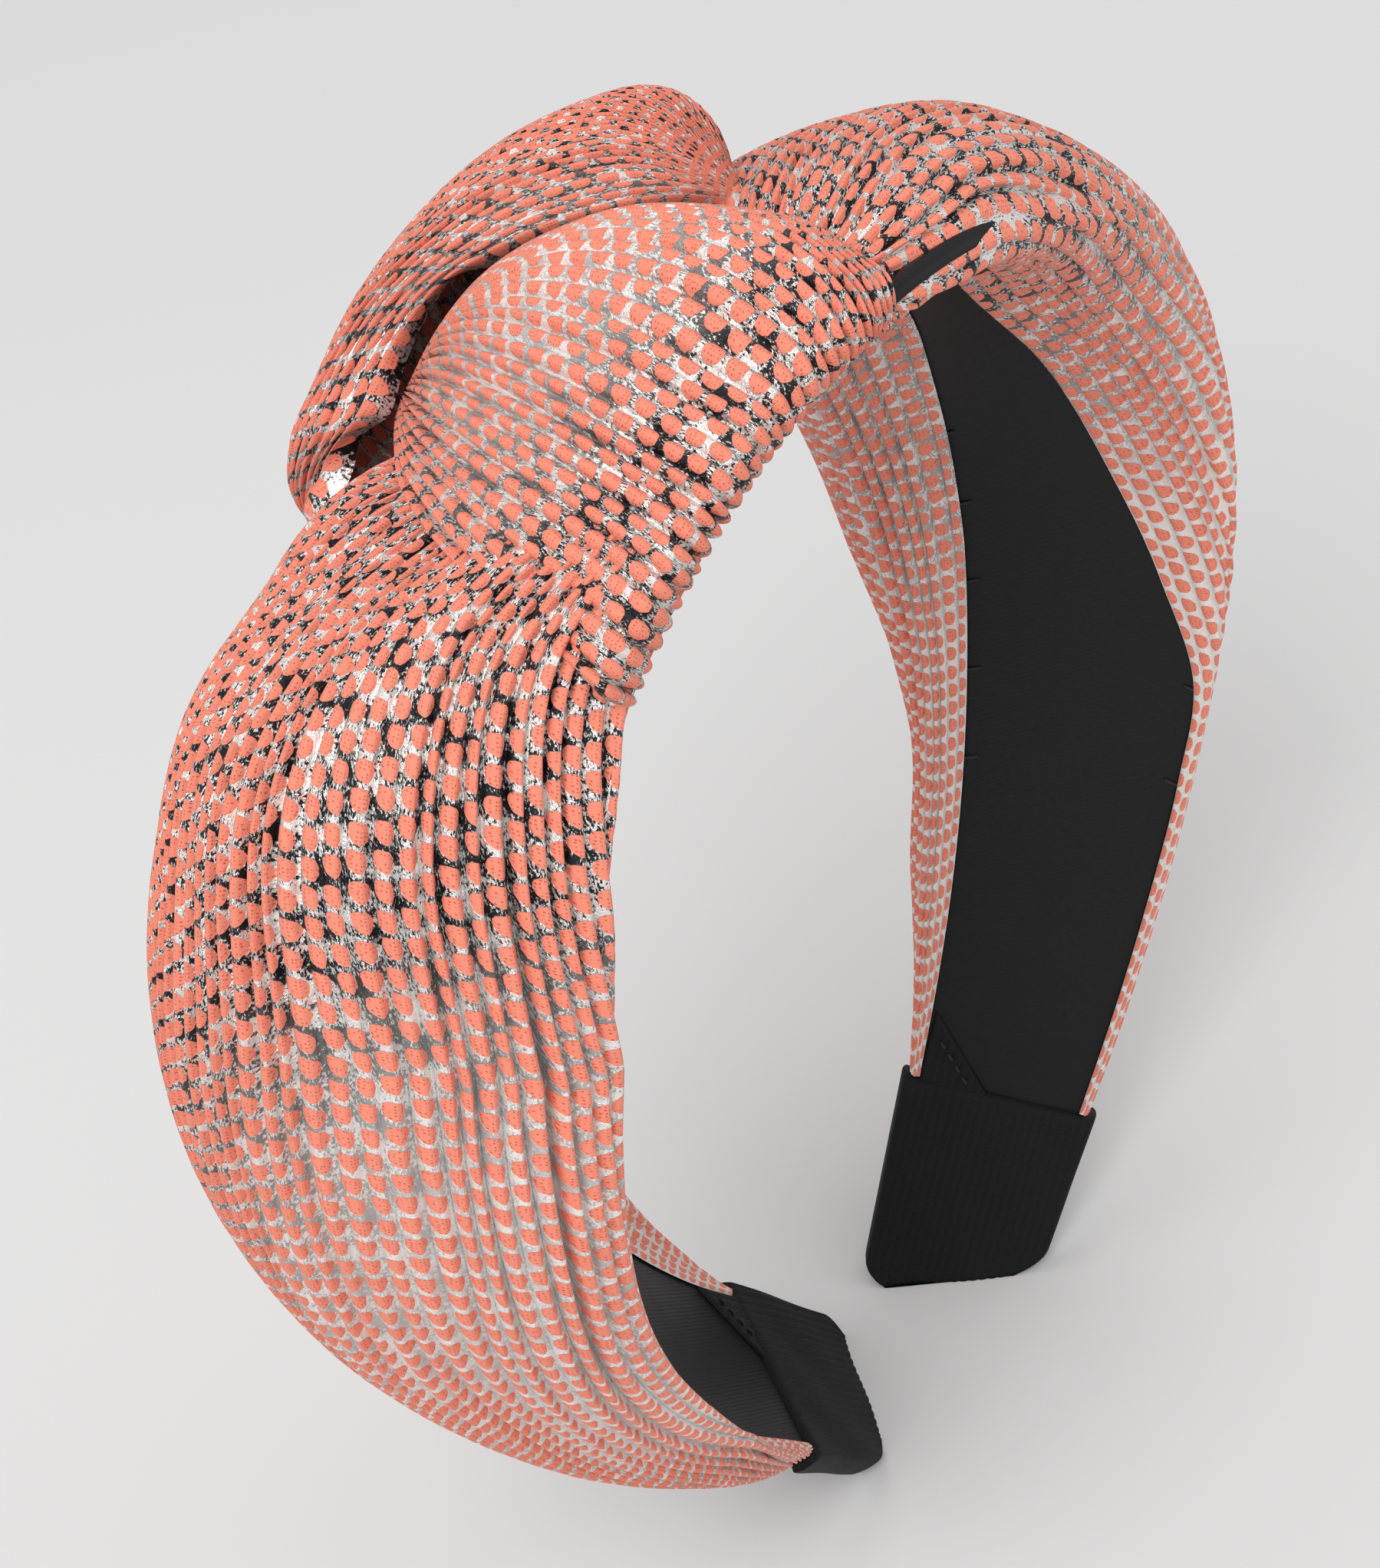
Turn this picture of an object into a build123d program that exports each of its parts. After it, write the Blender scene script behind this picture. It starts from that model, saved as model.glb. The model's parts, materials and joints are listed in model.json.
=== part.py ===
from build123d import *
import os
from math import asin, atan2, cos, degrees, hypot, sin, radians, pi

os.makedirs("parts", exist_ok=True)

# A knotted hair hoop standing on its two tips. All sizes are in millimetres and degrees.
# X runs from the left tip to the right tip, Y runs across the band from front to rear, Z is up.
# A place on the hoop is given by s, the distance along its middle line from the crown, and by
# v and n, the distances across the band (+ to the rear) and out from its middle surface.

# Middle line of the hoop: three tangent arcs and a straight tip on each side
crown_radius = 45.0
crown_sweep = 59.0
shoulder_radius = 68.0
shoulder_sweep = 41.0
side_radius = 160.0
tip_straight = 32.0
tip_half_gap = 10.35

# The strip is bent as part of a cone, wider apart at the front edge, and leans a little forward
cone_angle = 31.0
hoop_lean = 4.0

# Strip
crown_width = 33.0
side_width = 27.0
tip_width = 17.0
hoop_thickness = 1.2
end_setback = 4.5

# Satin skins on both faces
satin_thickness = 0.4
skin_gap = 0.05
satin_overhang = 0.4

# Where the hoop flexes: the knot stays on the piece between these two lines
left_flex_at = 34.0
right_flex_at = 20.0
core_flex_gap = 0.3
skin_flex_gap = 0.7

# Knot on the crown
strap_clearance = 0.5
strap_hem = 0.6
knot_height = 22.0
knot_end_height = 13.0
front_strap_overhang = 3.5
front_strap_inner_edge = -1.0
rear_strap_overhang = 17.0
rear_strap_inner_edge = 0.0
front_strap_right_end = 4.0
knot_end_gap = 1.2

# Puffed covers on the arms
cover_clearance = 0.25
cover_hem = 1.2
cover_start_gap = 2.5
cover_end_gap = 0.3
left_cover_height = 16.5
left_cover_top = 12.0
left_cover_front = 14.0
left_cover_rear = 17.0
right_cover_height = 2.5
right_cover_top = 7.0
right_cover_front = 1.0
right_cover_rear = 13.0
cover_end_height = 1.6
cover_wall = 1.2
cavity_from = 0.06
cavity_to = 0.85

# How a cover swells along the arm: a higher power is fuller towards both ends
swell_power = 2.5
swell_roundness = 0.6
spread_end = 0.04
spread_skew = 0.6

# Grosgrain at the tips
ribbon_length = 24.0
ribbon_thickness = 0.5
ribbon_clearance = 0.25
flap_rise = 9.0
flap_width = 8.0
flap_inset = 1.0
sleeve_spare = 8.0

# Thread
thread = 0.35
hem_stitch_length = 3.0
hem_stitch_pitch = 12.0
hem_stitch_count = 8
tip_stitch_count = 4
tip_stitch_line = 0.7
tack_width = 0.8
tack_inset = 4.0
tack_count = 3
tack_pitch = 11.0

# Outlines that a loft passes through
crown_stations = 7
arm_stations = 15

# Lengths along the middle line
# The side arc turns as far as it must for the tips to end tip_half_gap to each side of the middle
upper_sweep = radians(crown_sweep + shoulder_sweep)
upper_reach = crown_radius * sin(radians(crown_sweep))
upper_reach += shoulder_radius * (sin(upper_sweep) - sin(radians(crown_sweep)))
tip_lever = hypot(side_radius, tip_straight)
tip_rise = asin((tip_half_gap - upper_reach + side_radius * sin(upper_sweep)) / tip_lever)
side_sweep = degrees(pi - tip_rise - atan2(tip_straight, side_radius) - upper_sweep)

crown_length = crown_radius * radians(crown_sweep)
shoulder_length = shoulder_radius * radians(shoulder_sweep)
side_length = side_radius * radians(side_sweep)
half_length = crown_length + shoulder_length + side_length + tip_straight
ribbon_start = half_length - ribbon_length

# Layers out from the middle surface
skin_inner = hoop_thickness / 2 + skin_gap
skin_outer = skin_inner + satin_thickness


def turned(s):
    """Angle that the middle line has turned at s, in degrees from level."""
    angle = min(s, crown_length) / crown_radius
    angle += min(max(s - crown_length, 0), shoulder_length) / shoulder_radius
    angle += min(max(s - crown_length - shoulder_length, 0), side_length) / side_radius
    return angle * 180 / pi


def reach(s):
    """How far out and how far down from the crown the middle line is at s."""
    out, down, angle = 0.0, 0.0, 0.0
    left = s
    for radius, length in (
        (crown_radius, crown_length),
        (shoulder_radius, shoulder_length),
        (side_radius, side_length),
    ):
        step = min(left, length)
        new = angle + step / radius
        out += radius * (sin(new) - sin(angle))
        down += radius * (cos(angle) - cos(new))
        angle = new
        left -= step
    return out + left * cos(angle), down + left * sin(angle)


def half_width(s):
    """Half the strip's width at s: it narrows from the crown to the tips."""
    middle = half_length / 2
    if s < middle:
        return (crown_width + (side_width - crown_width) * s / middle) / 2
    return (side_width + (tip_width - side_width) * (s - middle) / middle) / 2


stand_height = reach(half_length)[1]


def lean(vector):
    """Tip a direction or a place forward about the line through both tips."""
    return vector.rotate(Axis.X, hoop_lean)


def station(s):
    """Plane square to the hoop at s, right of the crown when s > 0: its x is v and its y is n."""
    side = 1 if s >= 0 else -1
    out, down = reach(abs(s))
    angle = radians(turned(abs(s)))
    cone = radians(cone_angle)
    inward = Vector(-side * sin(angle), 0, -cos(angle))
    across = lean(Vector(0, cos(cone), 0) + inward * sin(cone))
    outward = lean(Vector(0, sin(cone), 0) - inward * cos(cone))
    origin = lean(Vector(side * out, 0, stand_height - down))
    return Plane(origin, x_dir=across, z_dir=across.cross(outward))


def stops(start, end, count):
    """Evenly spaced places along the hoop, both ends included."""
    return [start + (end - start) * i / (count - 1) for i in range(count)]


def strip_section(s, low, high, extra):
    """Rectangle from n = low to n = high, wider than the strip by extra at each edge."""
    with BuildSketch(station(s)) as section:
        with Locations((0, (low + high) / 2)):
            Rectangle(2 * (half_width(abs(s)) + extra), high - low)
    return section.sketch


def channel_side(s, clearance):
    """How far across the band a cover's channel reaches at s."""
    return half_width(abs(s)) + satin_overhang + clearance


def cover_section(s, height, front, rear):
    """Closed outline of a puffed cover: a half ellipse over a channel that holds the strip."""
    side = channel_side(s, cover_clearance)
    top = skin_outer + cover_clearance
    hem = -skin_outer
    low, high = -side - front, side + rear
    with BuildSketch(station(s)) as section:
        with BuildLine():
            EllipticalCenterArc(((low + high) / 2, top), (high - low) / 2, height, 0, arc_size=180)
            Polyline((low, top), (-side, hem), (-side, top), (side, top), (side, hem), (high, top))
        make_face()
    return section.sketch


def swell(t):
    """Rises from 0 at one end of a cover to 1 and falls to 0 at the other."""
    return max(0.0, 1 - abs(2 * t - 1) ** swell_power) ** swell_roundness


def spread(t):
    """How far a cover has widened at t: most about a third of the way down."""
    return sin(pi * (spread_end + (1 - 2 * spread_end) * t) ** spread_skew)


def air_section(s, height, front, rear):
    """Outline of the air inside a cover: a half ellipse one wall inside it all round."""
    side = channel_side(s, cover_clearance)
    floor = skin_outer + cover_clearance + cover_wall
    low, high = 2 * cover_wall - side - front, side + rear - 2 * cover_wall
    rise = height - 2 * cover_wall
    with BuildSketch(station(s)) as section:
        with BuildLine():
            EllipticalCenterArc(((low + high) / 2, floor), (high - low) / 2, rise, 0, arc_size=180)
            Line((low, floor), (high, floor))
        make_face()
    return section.sketch


def cover_outlines(outline, first, last, side, start, top, height, front, rear):
    """Outlines along a cover from t = first to t = last; t is 0 at the knot and 1 at the ribbon."""
    end = ribbon_start - cover_end_gap
    sections = []
    for t in stops(first, last, arm_stations):
        s = start + (end - start) * t
        lift = cover_end_height + (top - cover_end_height) * (1 - t) ** 2 + height * swell(t)
        wide_front = cover_hem + front * spread(t)
        wide_rear = cover_hem + rear * spread(t)
        sections.append(outline(side * s, lift, wide_front, wide_rear))
    return sections


def strap_section(s, height, edge, overhang, rear_side):
    """Quarter ellipse over one half of the band, hemmed round that edge of the strip."""
    side = channel_side(s, strap_clearance)
    top = skin_outer + strap_clearance
    hem = -skin_outer - strap_hem
    far = side + overhang
    with BuildSketch(station(s)) as section:
        with BuildLine():
            if rear_side:
                EllipticalCenterArc((edge, top), far - edge, height, 0, arc_size=90)
                Polyline((edge, top + height), (edge, top), (side, top), (side, hem), (far, top))
            else:
                EllipticalCenterArc((edge, top), far + edge, height, 90, arc_size=90)
                Polyline((-far, top), (-side, hem), (-side, top), (edge, top), (edge, top + height))
        make_face()
    return section.sketch


def knot_rise(s):
    """Height of the knot above its channel at s: a dome between the two flex lines."""
    t = (s + left_flex_at) / (left_flex_at + right_flex_at)
    return knot_end_height + (knot_height - knot_end_height) * sin(pi * t)


def inner_plane(s, depth):
    """Plane flat on the inner face at s, at n = -depth, facing outward from the head opening."""
    at = station(s)
    return Plane(at.origin - at.y_dir * depth, x_dir=at.x_dir, z_dir=at.y_dir)


knot_left = -(left_flex_at - knot_end_gap)
knot_right = right_flex_at - knot_end_gap
hoop_end = half_length - end_setback

# Strip: the piece under the knot and the two arms that spring open from it
with BuildPart() as hoop_crown:
    ends = stops(-left_flex_at + core_flex_gap / 2, right_flex_at - core_flex_gap / 2, crown_stations)
    loft(sections=[strip_section(s, -hoop_thickness / 2, hoop_thickness / 2, 0) for s in ends])

with BuildPart() as hoop_left_arm:
    ends = stops(-left_flex_at - core_flex_gap / 2, -hoop_end, arm_stations)
    loft(sections=[strip_section(s, -hoop_thickness / 2, hoop_thickness / 2, 0) for s in ends])

with BuildPart() as hoop_right_arm:
    ends = stops(right_flex_at + core_flex_gap / 2, hoop_end, arm_stations)
    loft(sections=[strip_section(s, -hoop_thickness / 2, hoop_thickness / 2, 0) for s in ends])

# Satin over the outer face
with BuildPart() as crown_outer_satin:
    ends = stops(-left_flex_at + skin_flex_gap / 2, right_flex_at - skin_flex_gap / 2, crown_stations)
    loft(sections=[strip_section(s, skin_inner, skin_outer, satin_overhang) for s in ends])

with BuildPart() as left_outer_satin:
    ends = stops(-left_flex_at - skin_flex_gap / 2, -hoop_end, arm_stations)
    loft(sections=[strip_section(s, skin_inner, skin_outer, satin_overhang) for s in ends])

with BuildPart() as right_outer_satin:
    ends = stops(right_flex_at + skin_flex_gap / 2, hoop_end, arm_stations)
    loft(sections=[strip_section(s, skin_inner, skin_outer, satin_overhang) for s in ends])

# Satin lining on the inner face
with BuildPart() as crown_lining:
    ends = stops(-left_flex_at + skin_flex_gap / 2, right_flex_at - skin_flex_gap / 2, crown_stations)
    loft(sections=[strip_section(s, -skin_outer, -skin_inner, 0) for s in ends])

with BuildPart() as left_lining:
    ends = stops(-left_flex_at - skin_flex_gap / 2, -hoop_end, arm_stations)
    loft(sections=[strip_section(s, -skin_outer, -skin_inner, 0) for s in ends])

with BuildPart() as right_lining:
    ends = stops(right_flex_at + skin_flex_gap / 2, hoop_end, arm_stations)
    loft(sections=[strip_section(s, -skin_outer, -skin_inner, 0) for s in ends])

# Puffed covers of pleated cloth, hollow
with BuildPart() as left_cover:
    start = left_flex_at + cover_start_gap
    sizes = (left_cover_top, left_cover_height, left_cover_front, left_cover_rear)
    loft(sections=cover_outlines(cover_section, 0, 1, -1, start, *sizes))
    air = cover_outlines(air_section, cavity_from, cavity_to, -1, start, *sizes)
    loft(sections=air, mode=Mode.SUBTRACT)

with BuildPart() as right_cover:
    start = right_flex_at + cover_start_gap
    sizes = (right_cover_top, right_cover_height, right_cover_front, right_cover_rear)
    loft(sections=cover_outlines(cover_section, 0, 1, 1, start, *sizes))
    air = cover_outlines(air_section, cavity_from, cavity_to, 1, start, *sizes)
    loft(sections=air, mode=Mode.SUBTRACT)

# Knot: two straps of the same cloth, one round each edge of the strip
with BuildPart() as knot_front_strap:
    sections = []
    for s in stops(knot_left, front_strap_right_end, crown_stations):
        outline = strap_section(s, knot_rise(s), front_strap_inner_edge, front_strap_overhang, False)
        sections.append(outline)
    loft(sections=sections)

with BuildPart() as knot_rear_strap:
    sections = []
    for s in stops(knot_left, knot_right, crown_stations):
        outline = strap_section(s, knot_rise(s), rear_strap_inner_edge, rear_strap_overhang, True)
        sections.append(outline)
    loft(sections=sections)

# Thread tacks that hold the straps to the satin, hidden under the knot
with BuildPart() as knot_tacks:
    for i in range(tack_count):
        s = (i - (tack_count - 1) / 2) * tack_pitch - tack_width / 2
        with BuildSketch(station(s)):
            with Locations((0, skin_outer + skin_gap + thread / 2)):
                Rectangle(2 * (half_width(abs(s)) - tack_inset), thread)
    extrude(amount=tack_width)


def ribbon_section(s, wall):
    """Outline round everything that the ribbon wraps at s, grown by wall."""
    reach_out = skin_outer + ribbon_clearance + wall
    return strip_section(s, -reach_out, reach_out, satin_overhang + ribbon_clearance + wall)


# Grosgrain sleeves: closed below the hoop's end and flat where they stand
sleeve_end = half_length + sleeve_spare
cavity_end = hoop_end + ribbon_clearance

with BuildPart() as left_tip_ribbon:
    loft(sections=[ribbon_section(s, ribbon_thickness) for s in (-ribbon_start, -sleeve_end)])
    cavity = [ribbon_section(s, 0) for s in (-ribbon_start + ribbon_thickness, -cavity_end)]
    loft(sections=cavity, mode=Mode.SUBTRACT)
    split(bisect_by=Plane.XY, keep=Keep.TOP)

with BuildPart() as right_tip_ribbon:
    loft(sections=[ribbon_section(s, ribbon_thickness) for s in (ribbon_start, sleeve_end)])
    cavity = [ribbon_section(s, 0) for s in (ribbon_start - ribbon_thickness, cavity_end)]
    loft(sections=cavity, mode=Mode.SUBTRACT)
    split(bisect_by=Plane.XY, keep=Keep.TOP)

# Slanted end of each ribbon, lapped over the lining at the rear edge
flap_depth = skin_outer + skin_gap + ribbon_thickness
flap_rear = half_width(ribbon_start) - flap_inset


def flap_corners(up):
    """Corners of a flap: up is 1 where the plane's own y runs down the arm, -1 where it runs up."""
    lower, upper = up * skin_gap, up * flap_rise
    return (flap_rear, lower), (flap_rear, upper), (flap_rear - flap_width, lower)


def flap_stitch_spots(up):
    """Places in a row beside the flap's slanted edge."""
    spots = []
    for i in range(tip_stitch_count):
        t = (i + 1) / (tip_stitch_count + 1)
        x = flap_rear - tip_stitch_line * flap_width * t
        y = up * tip_stitch_line * flap_rise * (1 - t)
        spots.append((x, y))
    return spots


with BuildPart() as left_ribbon_flap:
    with BuildSketch(inner_plane(-ribbon_start, flap_depth)):
        Polygon(*flap_corners(-1), align=None)
    extrude(amount=ribbon_thickness)

with BuildPart() as right_ribbon_flap:
    with BuildSketch(inner_plane(ribbon_start, flap_depth)):
        Polygon(*flap_corners(1), align=None)
    extrude(amount=ribbon_thickness)


def stitch_spots(side):
    """Places along one arm's inner face for the stitches that hold the cover's hem."""
    first = right_flex_at + cover_start_gap + hem_stitch_pitch
    if side < 0:
        first = left_flex_at + cover_start_gap + hem_stitch_pitch
    return [side * (first + i * hem_stitch_pitch) for i in range(hem_stitch_count)]


with BuildPart() as left_hem_stitches:
    for s in stitch_spots(-1):
        with BuildSketch(inner_plane(s, skin_outer + thread + skin_gap)):
            edge = half_width(abs(s)) - hem_stitch_length / 2
            with Locations((-edge, 0), (edge, 0)):
                Rectangle(hem_stitch_length, thread)
    extrude(amount=thread)

with BuildPart() as right_hem_stitches:
    for s in stitch_spots(1):
        with BuildSketch(inner_plane(s, skin_outer + thread + skin_gap)):
            edge = half_width(abs(s)) - hem_stitch_length / 2
            with Locations((-edge, 0), (edge, 0)):
                Rectangle(hem_stitch_length, thread)
    extrude(amount=thread)

# Stitches along the slanted edge of each ribbon's end
with BuildPart() as left_tip_stitches:
    with BuildSketch(inner_plane(-ribbon_start, flap_depth + thread)):
        with Locations(*flap_stitch_spots(-1)):
            Rectangle(2 * thread, thread)
    extrude(amount=thread)

with BuildPart() as right_tip_stitches:
    with BuildSketch(inner_plane(ribbon_start, flap_depth + thread)):
        with Locations(*flap_stitch_spots(1)):
            Rectangle(2 * thread, thread)
    extrude(amount=thread)

pieces = {
    "hoop_crown": hoop_crown,
    "hoop_left_arm": hoop_left_arm,
    "hoop_right_arm": hoop_right_arm,
    "crown_outer_satin": crown_outer_satin,
    "left_outer_satin": left_outer_satin,
    "right_outer_satin": right_outer_satin,
    "crown_lining": crown_lining,
    "left_lining": left_lining,
    "right_lining": right_lining,
    "left_cover": left_cover,
    "right_cover": right_cover,
    "knot_front_strap": knot_front_strap,
    "knot_rear_strap": knot_rear_strap,
    "knot_tacks": knot_tacks,
    "left_tip_ribbon": left_tip_ribbon,
    "right_tip_ribbon": right_tip_ribbon,
    "left_ribbon_flap": left_ribbon_flap,
    "right_ribbon_flap": right_ribbon_flap,
    "left_hem_stitches": left_hem_stitches,
    "right_hem_stitches": right_hem_stitches,
    "left_tip_stitches": left_tip_stitches,
    "right_tip_stitches": right_tip_stitches,
}

# The origin is on the floor, under the middle of the whole headband
boxes = [piece.part.bounding_box() for piece in pieces.values()]
middle_x = (min(box.min.X for box in boxes) + max(box.max.X for box in boxes)) / 2
middle_y = (min(box.min.Y for box in boxes) + max(box.max.Y for box in boxes)) / 2
to_middle = Vector(-middle_x, -middle_y, 0)

for name, piece in pieces.items():
    piece.part.position += to_middle
    piece.part.label = name
    export_step(piece.part, "parts/" + name + ".step")
    print(name, len(piece.part.solids()), round(piece.part.volume, 1))

print("moved by", to_middle)
for name, s in (("left_arm_flex", -left_flex_at), ("right_arm_flex", right_flex_at)):
    print(name, station(s).origin + to_middle, "axis", station(s).x_dir)
print("half length", round(half_length, 2), "stand height", round(stand_height, 2))
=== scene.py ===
import json
import math
import bpy
import numpy as np
from mathutils import Matrix, Vector


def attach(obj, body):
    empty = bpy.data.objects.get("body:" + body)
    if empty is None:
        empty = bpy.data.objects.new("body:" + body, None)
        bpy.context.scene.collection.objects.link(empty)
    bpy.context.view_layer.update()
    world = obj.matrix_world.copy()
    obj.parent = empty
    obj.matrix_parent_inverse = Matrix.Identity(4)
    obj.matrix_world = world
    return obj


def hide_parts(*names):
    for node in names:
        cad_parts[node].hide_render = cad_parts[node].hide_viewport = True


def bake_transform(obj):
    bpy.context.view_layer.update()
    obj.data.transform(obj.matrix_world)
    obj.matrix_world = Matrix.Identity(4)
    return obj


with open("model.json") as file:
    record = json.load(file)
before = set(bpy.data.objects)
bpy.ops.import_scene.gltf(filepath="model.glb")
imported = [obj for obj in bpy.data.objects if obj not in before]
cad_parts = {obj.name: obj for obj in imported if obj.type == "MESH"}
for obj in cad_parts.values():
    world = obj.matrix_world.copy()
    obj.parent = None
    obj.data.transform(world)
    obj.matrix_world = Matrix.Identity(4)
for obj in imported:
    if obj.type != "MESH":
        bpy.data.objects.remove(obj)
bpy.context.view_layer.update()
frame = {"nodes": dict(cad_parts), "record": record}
mm = 0.001
fullTurn = 6.28

# A place on the hoop is s, v, n in millimetres: s along the middle line from the crown (left is
# negative), v across the band (+ to the rear) and n out from its middle surface.
hoop = {
    "arcs": ((45.0, 59.0), (68.0, 41.0), (160.0, 21.0)),  # radius and sweep, from the crown down
    "tipStraight": 32.0,
    "coneAngle": 31.0,
    "lean": 4.0,
    "crownWidth": 33.0,
    "sideWidth": 27.0,
    "tipWidth": 17.0,
    "leftFlex": -34.0,
    "rightFlex": 20.0,
    "ribbonLength": 24.0,
    "endSetback": 4.5,
}
halfLength = sum(radius * math.radians(sweep) for radius, sweep in hoop["arcs"]) + hoop["tipStraight"]
ribbonStart = halfLength - hoop["ribbonLength"]


def middleLine(s):
    # how far out, how far down and how far turned the middle line is at s
    left = np.abs(np.asarray(s, float))
    out, down, turned = np.zeros_like(left), np.zeros_like(left), np.zeros_like(left)
    for radius, sweep in hoop["arcs"]:
        step = np.minimum(left, radius * math.radians(sweep))
        new = turned + step / radius
        out = out + radius * (np.sin(new) - np.sin(turned))
        down = down + radius * (np.cos(turned) - np.cos(new))
        turned = new
        left = left - step
    return out + left * np.cos(turned), down + left * np.sin(turned), turned


def halfWidth(s):
    # half the strip's width: widest at the crown
    stops = (0, halfLength / 2, halfLength)
    widths = (hoop["crownWidth"] / 2, hoop["sideWidth"] / 2, hoop["tipWidth"] / 2)
    return np.interp(np.abs(s), stops, widths)


standHeight = float(middleLine(halfLength)[1])


def standingPoint(s, v, n):
    # from hoop places to millimetres, before the hoop is put in its place in the frame
    s, v, n = np.broadcast_arrays(*(np.asarray(part, float) for part in (s, v, n)))
    side = np.where(s < 0, -1.0, 1.0)
    out, down, turned = middleLine(s)
    cone, lean = math.radians(hoop["coneAngle"]), math.radians(hoop["lean"])
    inward = v * math.sin(cone) - n * math.cos(cone)
    x = side * (out - inward * np.sin(turned))
    y = v * math.cos(cone) + n * math.sin(cone)
    z = standHeight - down - inward * np.cos(turned)
    return np.stack([x, y * math.cos(lean) - z * math.sin(lean), y * math.sin(lean) + z * math.cos(lean)], -1)


flexPoint = {joint["name"]: np.array(joint["pos_m"]) for joint in frame["record"]["behaviour"]["joints"]}
hoopPlace = flexPoint["left_arm_flex"] - standingPoint(hoop["leftFlex"], 0, 0) * mm


def hoopPoint(s, v, n):
    return standingPoint(s, v, n) * mm + hoopPlace


def through(stops, t):
    # smooth curve through rows of (place, value, value, ...)
    stops = np.asarray(stops, float)
    place, value = stops[:, 0], stops[:, 1:]
    slope = np.gradient(value, place, axis=0)
    t = np.clip(np.asarray(t, float), place[0], place[-1])
    i = np.clip(np.searchsorted(place, t, side="right") - 1, 0, len(place) - 2)
    gap = (place[i + 1] - place[i])[..., None]
    u = ((t - place[i]) / (place[i + 1] - place[i]))[..., None]
    start = (2 * u**3 - 3 * u**2 + 1) * value[i] + (u**3 - 2 * u**2 + u) * gap * slope[i]
    end = (3 * u**2 - 2 * u**3) * value[i + 1] + (u**3 - u**2) * gap * slope[i + 1]
    return start + end


def waves(rng, count, x, y, reachX, reachY):
    # soft unevenness: a few sine waves in random directions, about 1 high in all
    total = np.zeros(np.broadcast(x, y).shape)
    for _ in range(count):
        a, b = rng.uniform(-1, 1, 2)
        total = total + np.sin(a * x / reachX + b * y / reachY + rng.uniform(0, fullTurn))
    return total / math.sqrt(count)


def lengthsAlong(points, axis):
    # length walked along one direction of a grid, in millimetres
    step = np.linalg.norm(np.diff(points, axis=axis), axis=-1) / mm
    start = np.zeros_like(np.take(step, [0], axis=axis))
    return np.concatenate([start, np.cumsum(step, axis=axis)], axis=axis)


def gridMesh(name, points, uv=None, spark=None, wrap=False, caps=False):
    # mesh from a grid of points; wrap closes it sideways into a tube, caps close the tube's ends
    rows, cols = points.shape[:2]
    index = np.arange(rows * cols).reshape(rows, cols)
    nextCol = np.roll(index, -1, axis=1) if wrap else index[:, 1:]
    thisCol = index if wrap else index[:, :-1]
    faces = np.stack([thisCol[:-1], nextCol[:-1], nextCol[1:], thisCol[1:]], -1).reshape(-1, 4)
    allFaces = faces.tolist()
    if caps:
        allFaces += [index[0][::-1].tolist(), index[-1].tolist()]
    mesh = bpy.data.meshes.new(name)
    mesh.from_pydata(points.reshape(-1, 3).tolist(), [], allFaces)
    corners = np.zeros(len(mesh.loops), np.int32)
    mesh.loops.foreach_get("vertex_index", corners)
    if uv is not None:
        layer = mesh.uv_layers.new(name="cloth")
        layer.data.foreach_set("uv", uv.reshape(-1, 2)[corners].astype(np.float32).ravel())
    if spark is not None:
        sparkLayer = mesh.attributes.new("spark", "FLOAT", "POINT")
        sparkLayer.data.foreach_set("value", spark.astype(np.float32).ravel())
    mesh.shade_smooth()
    piece = bpy.data.objects.new(name, mesh)
    bpy.context.scene.collection.objects.link(piece)
    return piece


def finishPiece(piece, material, slotName, body, *nodes):
    # material, slot name (not used), the CAD nodes that the piece stands for, and the body that it rides on
    piece.data.materials.append(material)
    if nodes:
        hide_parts(*nodes)
    if body:
        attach(piece, body)
    return piece


# Shader helpers
def plug(tree, value, socket):
    if isinstance(value, bpy.types.NodeSocket):
        tree.links.new(value, socket)
    elif value is not None:
        socket.default_value = value


def mathNode(tree, kind, *values):
    node = tree.nodes.new("ShaderNodeMath")
    node.operation = kind
    for socket, value in zip(node.inputs, values):
        plug(tree, value, socket)
    return node.outputs[0]


def ramp(tree, value, low, high, start=0.0, end=1.0):
    node = tree.nodes.new("ShaderNodeMapRange")
    node.interpolation_type = "SMOOTHSTEP"
    names = ("Value", "From Min", "From Max", "To Min", "To Max")
    for name, part in zip(names, (value, low, high, start, end)):
        plug(tree, part, node.inputs[name])
    return node.outputs[0]


def mixColour(tree, share, first, second):
    node = tree.nodes.new("ShaderNodeMix")
    node.data_type = "RGBA"
    plug(tree, share, node.inputs[0])
    plug(tree, first, node.inputs[6])
    plug(tree, second, node.inputs[7])
    return node.outputs[2]


def noise(tree, vector, scale, detail=2.0, roughness=0.5):
    node = tree.nodes.new("ShaderNodeTexNoise")
    plug(tree, vector, node.inputs["Vector"])
    node.inputs["Scale"].default_value = scale
    node.inputs["Detail"].default_value = detail
    node.inputs["Roughness"].default_value = roughness
    return node.outputs[0]


def combine(tree, x, y, z=0.0):
    node = tree.nodes.new("ShaderNodeCombineXYZ")
    for socket, value in zip(node.inputs, (x, y, z)):
        plug(tree, value, socket)
    return node.outputs[0]


def newGroup(name, inputs, outputs):
    tree = bpy.data.node_groups.new(name, "ShaderNodeTree")
    for label, value in inputs:
        tree.interface.new_socket(label, in_out="INPUT", socket_type="NodeSocketFloat").default_value = value
    for label in outputs:
        tree.interface.new_socket(label, in_out="OUTPUT", socket_type="NodeSocketFloat")
    return tree, tree.nodes.new("NodeGroupInput"), tree.nodes.new("NodeGroupOutput")


def useGroup(tree, group, **values):
    node = tree.nodes.new("ShaderNodeGroup")
    node.node_tree = group
    for label, value in values.items():
        plug(tree, value, node.inputs[label])
    return node


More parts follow.
